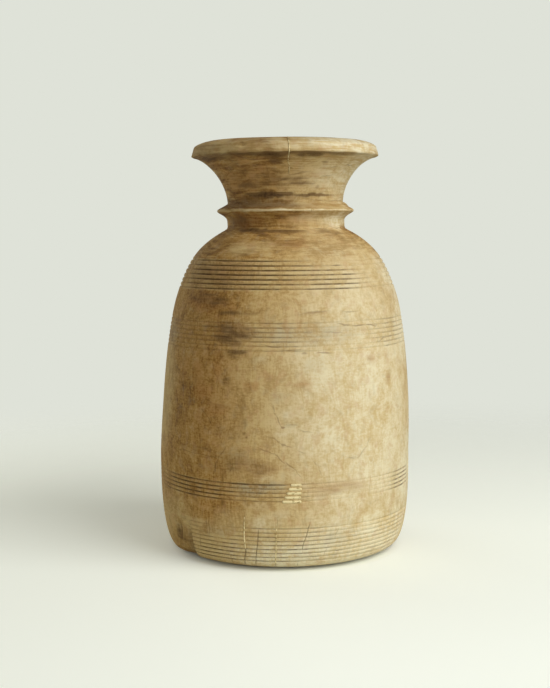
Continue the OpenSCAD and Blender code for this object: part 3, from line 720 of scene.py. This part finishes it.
# %% Place the hairlines
# Hairline cracks, veins and specks: degrees and height of both ends, half thickness, strength
HAIRLINES = (
    (-40.5, 156, -36, 147, 1, 0.8), (-36, 147, -34, 140, 1, 0.8), (-34, 140, -36, 131, 1, 0.7),
    (-57.5, 112.5, -41.5, 111, 1, 0.7), (-41.5, 111, -28.5, 111, 1, 0.7), (-30, 111, -33, 92, 1.2, 0.8),
    (-26.5, 122, -30, 111, 1.1, 0.7), (-23, 107, -25.5, 95.5, 1.2, 0.6),
    (-17, 150.5, -18, 138.5, 1.3, 0.5), (-5.5, 161, -5.5, 154, 0.9, 0.6),
    (-5.5, 154, -2, 143.5, 0.9, 0.7), (-2, 143.5, -0.5, 142, 0.9, 1), (-12, 122, -6, 116.5, 0.9, 0.7),
    (-6, 116.5, -0.5, 107, 1, 0.8), (-9, 133, -0.5, 125.5, 1, 0.6), (-0.5, 109, 3.5, 101.5, 1, 0.8),
    (3.5, 101.5, 6.5, 93.5, 0.9, 0.5), (-0.5, 145.5, 5, 143.5, 1.2, 0.4), (5, 140, 11.5, 134.5, 1, 0.6),
    (-0.5, 125.5, 3, 122, 0.9, 0.6), (4, 120, 8, 116.5, 0.9, 0.5), (11, 111, 13.5, 103, 0.8, 0.4),
    (13.5, 103, 15, 93.5, 0.8, 0.4), (26, 109, 32.5, 109, 1.4, 0.5), (32.5, 109, 37.5, 118, 1.3, 0.5),
    (37.5, 118, 39, 125.5, 1, 0.4), (-36.5, 203.5, -32, 187, 1.2, 0.8),
    (-32, 187, -31.5, 174.5, 1.2, 0.6), (18, 229, 28, 227.5, 0.8, 0.6), (2, 247, 24, 247, 2.6, 0.3),
    (25, 235.5, 32, 235, 1, 1.0), (33, 234, 40, 234.5, 1, 1.2), (41, 233.5, 48, 234, 1, 1.1),
    (28, 248.5, 36, 247.5, 1.2, 0.6), (9, 248, 22, 249, 1.4, 0.6), (-11, 217, -2, 215.5, 0.9, 0.8),
    (-3, 213, 8, 212.5, 0.9, 0.7), (14, 209.5, 20, 209.5, 1.2, 1.1), (46, 219, 56, 220, 0.9, 0.7),
    (-36, 52, -36.5, 32, 0.9, 0.9), (-42, 34, -43, 14, 0.9, 0.7), (-27, 15, -26.5, 6, 0.9, 0.8),
    (19, 24, 17, 12, 0.8, 0.5), (5, 10, 5.5, 4, 0.8, 0.7), (-68, 392, -54.5, 393, 1, 1),
    (-54.5, 393, -27, 392.5, 0.9, 0.6), (3.5, 378.5, 20, 380.5, 1.1, 0.9),
    (28.5, 390.5, 33.5, 390.5, 0.9, 1), (37.5, 385.5, 46, 387, 1, 0.6), (52, 387, 66, 387.5, 0.9, 0.6),
    (31, 376, 46, 378.5, 1, 0.6), (-10, 371.5, 5.5, 376, 1.1, 0.8), (-5.5, 390, 0, 390, 1, 1.2),
    (3, 385.5, 7.5, 385, 1, 1), (-14, 408, -7.5, 408, 0.9, 1.1), (-22, 386.5, -6, 387.5, 1, 0.5),
    (-36, 387.5, -20.5, 388.5, 1, 0.5), (6, 354, 87, 353.5, 0.8, 0.6), (37, 327, 87, 327, 0.9, 0.6),
    (28, 327, 37, 327, 0.9, 0.8), (22, 345.5, 22.5, 343, 0.9, 1), (-29, 316, 34, 314, 1, 0.4),
    (-66.5, 309.5, -31.5, 317.5, 1, 0.5), (-68, 304, -35, 313, 1, 0.5),
    (-19.5, 134.5, -17.5, 135, 2.2, 0.8), (-17.6, 131, -16.4, 131, 1.8, 0.9),
    (-1.8, 142, -0.2, 142, 1.8, 1), (-1.8, 125.5, -0.2, 125.5, 1.8, 1),
    (6.5, 209.5, 9.5, 209.5, 1.6, 0.8), (-25.5, 128, -22.5, 130, 2.6, 0.7),
    (-44, 188, -44, 174, 3, 0.4), (-27, 408, -25, 408, 1.3, 1.2),
)
print(len(HAIRLINES), "hairlines and specks")

# %% Draw the hairlines
# Each is a long thin spot on the side rolled out flat. Noise makes it wander, by so many millimetres
# about every so many, and it runs on past its ends so that the next one joins it
WANDER, WANDER_EVERY, LINE_OVERLAP, LINE_SPREAD = 4, 16, 1.5, 1.05
axes = add(tree, "ShaderNodeSeparateXYZ", {0: spot}).outputs
front = add(tree, "ShaderNodeMath", {0: axes["Y"], 1: -1.0}, operation="MULTIPLY").outputs[0]
turn = add(tree, "ShaderNodeMath", {0: axes["X"], 1: front}, operation="ARCTAN2").outputs[0]
round_side = add(tree, "ShaderNodeMath", {0: turn, 1: UNROLL_R * MM}, operation="MULTIPLY").outputs[0]
unrolled = add(tree, "ShaderNodeCombineXYZ", {"X": round_side, "Y": axes["Z"]}).outputs[0]
wander = sway(tree, spot, WANDER, WANDER_EVERY)
unrolled = add(tree, "ShaderNodeVectorMath", {0: unrolled, 1: wander}, operation="ADD").outputs[0]
lines = 0.0
for turn_a, low, turn_b, high, thick, strength in HAIRLINES:
    ends = np.array([(math.radians(turn_a) * UNROLL_R, low), (math.radians(turn_b) * UNROLL_R, high)])
    half = (ends[1] - ends[0]) / 2
    place = {
        "Vector": unrolled,
        "Location": (*ends.mean(0) * MM, 0),
        "Rotation": (0, 0, math.atan2(half[1], half[0])),
        "Scale": (LINE_OVERLAP * np.hypot(*half) * MM, LINE_SPREAD * thick * MM, 1),
    }
    fitted = add(tree, "ShaderNodeMapping", place, vector_type="TEXTURE").outputs[0]
    mark = add(tree, "ShaderNodeTexGradient", {0: fitted}, gradient_type="SPHERICAL").outputs["Fac"]
    lines = {0: mark, 1: strength, 2: lines}
    lines = add(tree, "ShaderNodeMath", lines, operation="MULTIPLY_ADD").outputs[0]
colour = coat(tree, colour, WOOD["vein"], lines, 0.0, 0.7, 0.45)
print("side rolled out to", round(math.tau * UNROLL_R), "mm")

# %% Put grime in the grooves and cracks, and finish the surface
# Every groove holds a little grime, and a grimy stretch holds more
LEAST_GRIME, GRIME_SHARE = 0.2, 0.75
grimy = {0: cover["grime"], 1: GRIME_SHARE, 2: LEAST_GRIME}
grimy = add(tree, "ShaderNodeMath", grimy, operation="MULTIPLY_ADD").outputs[0]
patchy = weighed(tree, 1.0, (mottle, 1.8), (pores, 1.6), (blotches, 0.8))
grimy = add(tree, "ShaderNodeMath", {0: grimy, 1: patchy}, operation="MULTIPLY").outputs[0]
grimy = add(tree, "ShaderNodeMath", {0: grimy, 1: cover["groove"]}, operation="MULTIPLY").outputs[0]
colour = coat(tree, colour, WOOD["grime"], grimy, 0.0, 1.0, 0.85)
colour = coat(tree, colour, WOOD["vein"], cover["crack"], 0.3, 1.1, 0.6)
colour = coat(tree, colour, WOOD["inside"], cover["inside"], 0.0, 1.0, 0.75)

relief = weighed(tree, 0.5, (rings, 0.5), (fibres, 0.6), (tool_lines, 0.6), (pores, 0.6), (mottle, 0.4))
bump = add(tree, "ShaderNodeBump", {"Height": relief, "Strength": 0.5, "Distance": 0.5 * MM}).outputs[0]
dull = {"Value": blotches, "From Min": 0.3, "From Max": 0.7, "To Min": 0.72, "To Max": 0.9}
dull = add(tree, "ShaderNodeMapRange", dull).outputs["Result"]
surface.inputs["Specular IOR Level"].default_value = 0.12
for socket, source in (("Base Color", colour), ("Roughness", dull), ("Normal", bump)):
    tree.links.new(source, surface.inputs[socket])
print("wood:", len(tree.nodes), "nodes")

# %% [markdown]
# ## Bands of grooves
# The turner pressed a pointed tool into the spinning wood, once for each groove, at even steps. What
# repeats by a rule is a job for Geometry Nodes: one tree takes the lowest groove, the pitch, the
# count, the width and the depth, finds the nearest groove for each point and pushes the point in
# along the turned surface's own direction. It runs once per band. Where the wood is worn smooth
# the cut is shallower, and the depth of each cut is kept as an attribute, so that grime settles there.

# %% Build the groove tree
groove_tree = bpy.data.node_groups.new("Groove band", "GeometryNodeTree")
groove_tree.is_modifier = True
tree = groove_tree
tree.interface.new_socket("Pot", in_out="INPUT", socket_type="NodeSocketGeometry")
GROOVE_INPUTS = {"Lowest": "Float", "Pitch": "Float", "Count": "Int", "Width": "Float", "Depth": "Float",
                 "Waver": "Float", "Seed": "Float", "Wood": "Material"}
for name, kind in GROOVE_INPUTS.items():
    tree.interface.new_socket(name, in_out="INPUT", socket_type="NodeSocket" + kind)
tree.interface.new_socket("Pot", in_out="OUTPUT", socket_type="NodeSocketGeometry")
print("groove tree takes", ", ".join(GROOVE_INPUTS))

# %% Find the nearest groove and push the point in
# The grooves drift up and down, with a swing about every so many millimetres
DRIFT_EVERY = 45
asked = add(tree, "NodeGroupInput").outputs
stored = {}
for name, kind in (("height", "FLOAT"), ("steep", "FLOAT"), ("wear", "FLOAT"), ("groove", "FLOAT"),
                   ("turn_normal", "FLOAT_VECTOR")):
    stored[name] = add(tree, "GeometryNodeInputNamedAttribute", {"Name": name}, data_type=kind).outputs[0]
drift = {"W": asked["Seed"], "Scale": 1 / (DRIFT_EVERY * MM), "Detail": 4.0}
drift = add(tree, "ShaderNodeTexNoise", drift, noise_dimensions="4D").outputs[0]
drift = add(tree, "ShaderNodeMath", {0: drift, 1: 0.5}, operation="SUBTRACT").outputs[0]
level = {0: drift, 1: asked["Waver"], 2: stored["height"]}
level = add(tree, "ShaderNodeMath", level, operation="MULTIPLY_ADD").outputs[0]
level = add(tree, "ShaderNodeMath", {0: level, 1: asked["Lowest"]}, operation="SUBTRACT").outputs[0]
level = add(tree, "ShaderNodeMath", {0: level, 1: asked["Pitch"]}, operation="DIVIDE").outputs[0]
last = add(tree, "ShaderNodeMath", {0: asked["Count"], 1: 1.0}, operation="SUBTRACT").outputs[0]
nearest = add(tree, "ShaderNodeMath", {0: level}, operation="ROUND").outputs[0]
nearest = add(tree, "ShaderNodeMath", {0: nearest, 1: 0.0}, operation="MAXIMUM").outputs[0]
nearest = add(tree, "ShaderNodeMath", {0: nearest, 1: last}, operation="MINIMUM").outputs[0]
gap = add(tree, "ShaderNodeMath", {0: level, 1: nearest}, operation="SUBTRACT").outputs[0]
gap = add(tree, "ShaderNodeMath", {0: gap}, operation="ABSOLUTE").outputs[0]
gap = add(tree, "ShaderNodeMath", {0: gap, 1: asked["Pitch"]}, operation="MULTIPLY").outputs[0]
gap = add(tree, "ShaderNodeMath", {0: gap, 1: stored["steep"]}, operation="MULTIPLY").outputs[0]
half_width = add(tree, "ShaderNodeMath", {0: asked["Width"], 1: 0.5}, operation="MULTIPLY").outputs[0]
cut = {"Value": gap, "From Max": half_width, "To Min": 1.0, "To Max": 0.0}
cut = add(tree, "ShaderNodeMapRange", cut).outputs[0]
sound = add(tree, "ShaderNodeMath", {0: 1.0, 1: stored["wear"]}, operation="SUBTRACT").outputs[0]
cut = add(tree, "ShaderNodeMath", {0: cut, 1: sound}, operation="MULTIPLY").outputs[0]
push = add(tree, "ShaderNodeMath", {0: cut, 1: asked["Depth"]}, operation="MULTIPLY").outputs[0]
push = add(tree, "ShaderNodeMath", {0: push, 1: -1.0}, operation="MULTIPLY").outputs[0]
push = {0: stored["turn_normal"], "Scale": push}
push = add(tree, "ShaderNodeVectorMath", push, operation="SCALE").outputs[0]
cut = add(tree, "ShaderNodeMath", {0: cut, 1: stored["groove"]}, operation="MAXIMUM").outputs[0]
carved = add(tree, "GeometryNodeSetPosition", {"Geometry": asked["Pot"], "Offset": push}).outputs[0]
kept = {"Geometry": carved, "Name": "groove", "Value": cut}
kept = add(tree, "GeometryNodeStoreNamedAttribute", kept, data_type="FLOAT", domain="POINT").outputs[0]
carved = add(tree, "GeometryNodeRealizeInstances", {0: kept}).outputs[0]
carved = add(tree, "GeometryNodeSetMaterial", {"Geometry": carved, "Material": asked["Wood"]}).outputs[0]
add(tree, "NodeGroupOutput", {0: carved})
print("groove tree:", len(tree.nodes), "nodes")

# %% Cut the bands
# How far a groove drifts from its true course, in millimetres
GROOVE_WAVER = 0.9
items = groove_tree.interface.items_tree
socket_of = {item.name: item.identifier for item in items if item.in_out == "INPUT"}
for name, band in BANDS.items():
    modifier = turned.modifiers.new(name + " band", "NODES")
    modifier.node_group = groove_tree
    settings = {
        "Lowest": band["lowest"] * MM, "Pitch": band["pitch"] * MM, "Count": band["count"],
        "Width": GROOVE_W * MM, "Depth": band["depth"] * MM, "Waver": GROOVE_WAVER * MM,
        "Seed": float(band["seed"]), "Wood": wood,
    }
    for key, value in settings.items():
        modifier[socket_of[key]] = value
finished = bpy.data.meshes.new_from_object(turned.evaluated_get(bpy.context.evaluated_depsgraph_get()))
turned.modifiers.clear()
turned.data = finished
finished.name = "turned_pot"
bpy.data.meshes.remove(pot_mesh)
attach(turned, "root")
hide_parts("turned_body")
cut_depths = np.zeros(len(finished.vertices), np.float32)
finished.attributes["groove"].data.foreach_get("value", cut_depths)
count = sum(band["count"] for band in BANDS.values())
print(count, "grooves cut, with", int((cut_depths > 0.5).sum()), "points deep in them")

# %% [markdown]
# ## Pale filler
# When the block dried it split, and someone pressed a paste of chalk and glue into the worst cracks
# and into a damaged stretch of grooves. It has shrunk and worn, so its edges are ragged. Each crack
# filling is a strip with a pointed root, swept along the same path and the same outline as the slit
# it fills, and each groove filling is a short bar along its groove.

# %% Draw the filler
# Chalk bound with glue: a cream paste that dries matt and crumbly, and takes dirt in its low places
filler = bpy.data.materials.new("chalk_and_glue_filler")
filler.use_nodes = True
tree = filler.node_tree
surface = tree.nodes["Principled BSDF"]
# The size of a crumb in millimetres, and how much cleaner firmly packed paste stays
CRUMB, PACKED = 3, 0.14
spot = add(tree, "ShaderNodeTexCoord").outputs["Object"]
crumbs = {"Vector": spot, "Scale": 1 / (CRUMB * MM), "Detail": 3.0}
crumbs = add(tree, "ShaderNodeTexNoise", crumbs).outputs[0]
packed = add(tree, "ShaderNodeAttribute", attribute_name="packed").outputs["Fac"]
clean = add(tree, "ShaderNodeMath", {0: packed, 1: PACKED, 2: crumbs}, operation="MULTIPLY_ADD").outputs[0]
colour = coat(tree, linear("#a68d59"), linear("#e6d7a6"), clean, 0.36, 0.6)
bump = add(tree, "ShaderNodeBump", {"Height": crumbs, "Strength": 0.5, "Distance": 0.3 * MM}).outputs[0]
surface.inputs["Roughness"].default_value = 0.9
surface.inputs["Specular IOR Level"].default_value = 0.2
tree.links.new(colour, surface.inputs["Base Color"])
tree.links.new(bump, surface.inputs["Normal"])
print("filler:", len(tree.nodes), "nodes")

# %% Sweep a bar along the wall
def on_wall(places, angles, aside, proud):
    """Points at distances along the outline, at angles, moved sideways and outwards, in millimetres."""
    r, z = (np.interp(places, along, outline[:, i]) for i in (0, 1))
    out, up = (np.interp(places, along, facing[:, i]) for i in (0, 1))
    turn = np.radians(angles)
    r, z = r + proud * out, z + proud * up
    x = r * np.sin(turn) + aside * np.cos(turn)
    y = -r * np.cos(turn) + aside * np.sin(turn)
    return settled(np.stack([x, y, z], -1))


def swept(sections):
    """Points and faces of a closed bar through a list of rings with as many points each."""
    n = len(sections[0])
    faces = [tuple(range(n))[::-1], tuple((len(sections) - 1) * n + i for i in range(n))]
    for low in range(0, (len(sections) - 1) * n, n):
        high = low + n
        faces += [(low + i, low + (i + 1) % n, high + (i + 1) % n, high + i) for i in range(n)]
    return np.concatenate(sections), faces


def filling(name, bars, node, packed=0.0):
    """An object of closed bars in place of a solid; packed paste is cleaner than rubbed-out paste."""
    points, faces = [], []
    for bar_points, bar_faces in bars:
        faces += [tuple(i + len(points) for i in face) for face in bar_faces]
        points += (bar_points * MM).tolist()
    mesh = bpy.data.meshes.new(name)
    mesh.from_pydata(points, [], faces)
    mesh.materials.append(filler)
    mesh.shade_smooth()
    layer = mesh.attributes.new("packed", "FLOAT", "POINT")
    layer.data.foreach_set("value", np.full(len(points), packed, np.float32))
    piece = bpy.data.objects.new(name, mesh)
    bpy.context.scene.collection.objects.link(piece)
    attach(piece, "root")
    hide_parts(node)
    print(name, len(bars), "bar(s),", len(faces), "faces")


print("front of the belly:", on_wall(place_of(BELLY[1]), 0, 0, 0).round(1))

# %% Fill the cracks
# Across each strip: share of the half width, and height above the wall; the root is a point below them
STRIP_SECTION = ((-1.0, -0.25), (-0.7, 0.12), (0.0, 0.25), (0.7, 0.12), (1.0, -0.25))
# Along it: the step, the range of its ragged width, the width at its ends, and how deep the root goes
STRIP_STEP, STRIP_ROUGH, STRIP_END, STRIP_ROOT = 1.5, (0.75, 1.15), 0.35, 0.6
# How far the rim's filling goes on past the top of the rim, along the outline
OVER_RIM = 34


def crack_strip(crack, start, end, seed):
    """A ragged strip along a crack, between two distances along the outline."""
    places = np.linspace(start, end, max(6, int((end - start) / STRIP_STEP)))
    angles = crack_angle(crack, np.interp(places, along, outline[:, 1]))
    rough = np.random.default_rng(seed).uniform(*STRIP_ROUGH, len(places))
    rough[[0, -1]] = STRIP_END
    rings = []
    for place, turned_by, width in zip(places, angles, rough * crack["width"] / 2):
        ring = [on_wall(place, turned_by, share * width, proud) for share, proud in STRIP_SECTION]
        ring.append(on_wall(place, turned_by, 0, -STRIP_ROOT * crack["depth"]))
        rings.append(np.array(ring))
    return swept(rings)


inner_end = top_of_rim + OVER_RIM
filling("rim_crack_filling", [crack_strip(CRACKS["rim"], place_of(379.5), inner_end, 31)], "rim_crack_fill")
filling("left_foot_crack_filling", [crack_strip(CRACKS["left foot"], place_of(23), place_of(54.5), 32)],
        "left_foot_crack_fill")
filling("right_foot_crack_filling", [crack_strip(CRACKS["right foot"], place_of(7.5), place_of(49.5), 33)],
        "right_foot_crack_fill")

# %% Fill the damaged grooves
# Degrees where the damage starts and ends, how much further round each higher groove starts, and the step
PATCH_START, PATCH_END, PATCH_SLANT, BAR_STEP = -1.5, 6.9, 0.9, 0.5
# The range of a bar's ragged size, the size at its ends, and the seed; across it: height and depth
BAR_ROUGH, BAR_END, BAR_SEED = (0.85, 1.1), 0.4, 50
BAR_SECTION = ((-1.35, -0.1), (-0.7, 0.25), (0.0, 0.35), (0.7, 0.25), (1.35, -0.1), (0.0, -0.95))
band = BANDS["lower belly"]
bars = []
for i in range(band["count"]):
    middle = place_of(band["lowest"] + i * band["pitch"])
    turns = np.arange(PATCH_START + i * PATCH_SLANT, PATCH_END, BAR_STEP)
    rough = np.random.default_rng(BAR_SEED + i).uniform(*BAR_ROUGH, len(turns))
    rough[[0, -1]] = BAR_END
    bars.append(swept([
        np.array([on_wall(middle + up * size, turned_by, 0, proud) for up, proud in BAR_SECTION])
        for turned_by, size in zip(turns, rough)
    ]))
filling("groove_filling", bars, "groove_fill", packed=0.6)

# %% [markdown]
# ## Floor and light
# The pot stands on a pale floor that fades into a pale backdrop, so nothing competes with it. A large
# soft lamp at the right and in front, a little above, does the work of a window. Two weaker ones give
# back some of its light from behind the pot and low in front of it, and the sky adds a weak warm fill.
# The levels are plain: a colour in full light renders about as written.

# %% Lay the floor
def in_view(tree):
    """1 for rays that the eye follows, straight, by gloss or through glass, and 0 for those of light."""
    ray = add(tree, "ShaderNodeLightPath").outputs
    seen = {0: ray["Is Camera Ray"], 1: ray["Is Glossy Ray"]}
    seen = add(tree, "ShaderNodeMath", seen, operation="MAXIMUM").outputs[0]
    seen = {0: seen, 1: ray["Is Transmission Ray"]}
    return add(tree, "ShaderNodeMath", seen, operation="MAXIMUM").outputs[0]


# In metres from the middle: the floor's edge, and where it starts to fade out and is gone
FLOOR_R, FADE_START, FADE_END = 2.2, 0.35, 1.1
# The floor shows a little brighter than it is lit, but not in the gap under the foot, so that the shadow
# there stays deep: the added light, and the distances between which it sets in
FLOOR_LIFT, UNDER_FOOT, CLEAR_OF_FOOT = 0.22, 0.100, 0.121
floor_mesh = bpy.data.meshes.new("floor")
ring = [FLOOR_R * heading(a) for a in np.arange(0, 360, 5)]
floor_mesh.from_pydata([(x, y, 0) for x, y in ring], [], [tuple(range(len(ring)))])
floor = bpy.data.objects.new("floor", floor_mesh)
bpy.context.scene.collection.objects.link(floor)
print("floor", 2 * FLOOR_R, "m wide")

# %% Paint the floor
# Matt white paint: an even, pale ground with hardly a sheen, which takes a soft shadow
PAINT = linear("#eef2e8")
paint = bpy.data.materials.new("matt_white_paint")
paint.use_nodes = True
tree = paint.node_tree
surface = tree.nodes["Principled BSDF"]
surface.inputs["Base Color"].default_value = PAINT
surface.inputs["Roughness"].default_value = 0.8
surface.inputs["Specular IOR Level"].default_value = 0.2
spot = add(tree, "ShaderNodeTexCoord").outputs["Object"]
away = add(tree, "ShaderNodeVectorMath", {0: spot}, operation="LENGTH").outputs["Value"]
fade = {"Value": away, "From Min": FADE_START, "From Max": FADE_END}
fade = add(tree, "ShaderNodeMapRange", fade, interpolation_type="SMOOTHSTEP").outputs["Result"]
open_floor = {"Value": away, "From Min": UNDER_FOOT, "From Max": CLEAR_OF_FOOT, "To Max": FLOOR_LIFT}
open_floor = add(tree, "ShaderNodeMapRange", open_floor).outputs["Result"]
lift = add(tree, "ShaderNodeMath", {0: in_view(tree), 1: open_floor}, operation="MULTIPLY").outputs[0]
lift = add(tree, "ShaderNodeEmission", {"Color": PAINT, "Strength": lift}).outputs[0]
lit = add(tree, "ShaderNodeAddShader", {0: surface.outputs[0], 1: lift}).outputs[0]
clear = add(tree, "ShaderNodeBsdfTransparent").outputs[0]
mixed = add(tree, "ShaderNodeMixShader", {0: fade, 1: lit, 2: clear}).outputs[0]
tree.links.new(mixed, tree.nodes["Material Output"].inputs["Surface"])
floor_mesh.materials.append(paint)
print("paint:", len(tree.nodes), "nodes")

# %% Hang the sky
# The eye sees a pale backdrop, and the pot is lit by a weak warm sky
BACKDROP, SKY, SKY_STRENGTH = linear("#dfe2d8"), linear("#fdf6e8"), 0.15
world = bpy.data.worlds.new("sky")
bpy.context.scene.world = world
world.use_nodes = True
tree = world.node_tree
fill = tree.nodes["Background"]
fill.inputs["Color"].default_value = SKY
fill.inputs["Strength"].default_value = SKY_STRENGTH
backdrop = add(tree, "ShaderNodeBackground", {"Color": BACKDROP, "Strength": 1.0}).outputs[0]
both = add(tree, "ShaderNodeMixShader", {0: in_view(tree), 1: fill.outputs[0], 2: backdrop}).outputs[0]
tree.links.new(both, tree.nodes["World Output"].inputs["Surface"])
print("sky:", len(tree.nodes), "nodes")

# %% Set the lamps
# Each lamp: degrees from the front and above the floor that it shines from, its distance and size in
# metres, its power and its colour. The second is the glow that comes back behind the pot's dark side,
# and the third is light that comes back low across the room and keeps the shadow at the foot narrow.
LAMPS = {
    "window": dict(turn=52, rise=36, away=1.9, size=1.6, watts=34, colour="#ffffff"),
    "back glow": dict(turn=-132, rise=12, away=1.8, size=1.2, watts=12, colour="#f8f6e8"),
    "low glow": dict(turn=8, rise=5, away=2.0, size=0.9, watts=8, colour="#ffffff"),
}
LAMP_AIM = (0, 0, 0.2)
for name, asked in LAMPS.items():
    lamp = bpy.data.lights.new(name, "AREA")
    lamp.size = asked["size"]
    lamp.energy = asked["watts"]
    lamp.color = linear(asked["colour"])[:3]
    lamp_object = bpy.data.objects.new(name, lamp)
    bpy.context.scene.collection.objects.link(lamp_object)
    turn, rise = math.radians(asked["turn"]), math.radians(asked["rise"])
    towards = np.array([math.sin(turn) * math.cos(rise), -math.cos(turn) * math.cos(rise), math.sin(rise)])
    lamp_object.location = towards * asked["away"] + LAMP_AIM
    lamp_object.rotation_euler = (math.pi / 2 - rise, 0, turn)
    print(name, "lamp at", [round(float(c), 2) for c in lamp_object.location])

# %% [markdown]
# ## Camera
# The camera stands level with the pot's waist, about three pot heights away, and looks slightly down.
# Its focal length is counted in pixels of the frame, as it was measured, and turned into millimetres.

# %% Set the camera
CAMERA_AT, CAMERA_DOWN, CAMERA_ROLL = (-0.0096, -1.2611, 0.3290), 5.5, -0.46
FOCAL_PX, FRAME_H_PX, SENSOR = 1225.8, 688, 36.0
camera = bpy.data.cameras.new("camera")
camera.sensor_fit = "VERTICAL"
camera.sensor_height = SENSOR
camera.sensor_width = SENSOR
camera.lens = FOCAL_PX / FRAME_H_PX * SENSOR
camera_object = bpy.data.objects.new("camera", camera)
camera_object.location = CAMERA_AT
camera_object.rotation_mode = "ZYX"
camera_object.rotation_euler = (math.radians(90 - CAMERA_DOWN), 0, math.radians(CAMERA_ROLL))
bpy.context.scene.collection.objects.link(camera_object)
bpy.context.scene.camera = camera_object
bpy.context.scene.view_settings.view_transform = "Standard"
print("lens", round(camera.lens, 1), "mm on a sensor", SENSOR, "mm high")
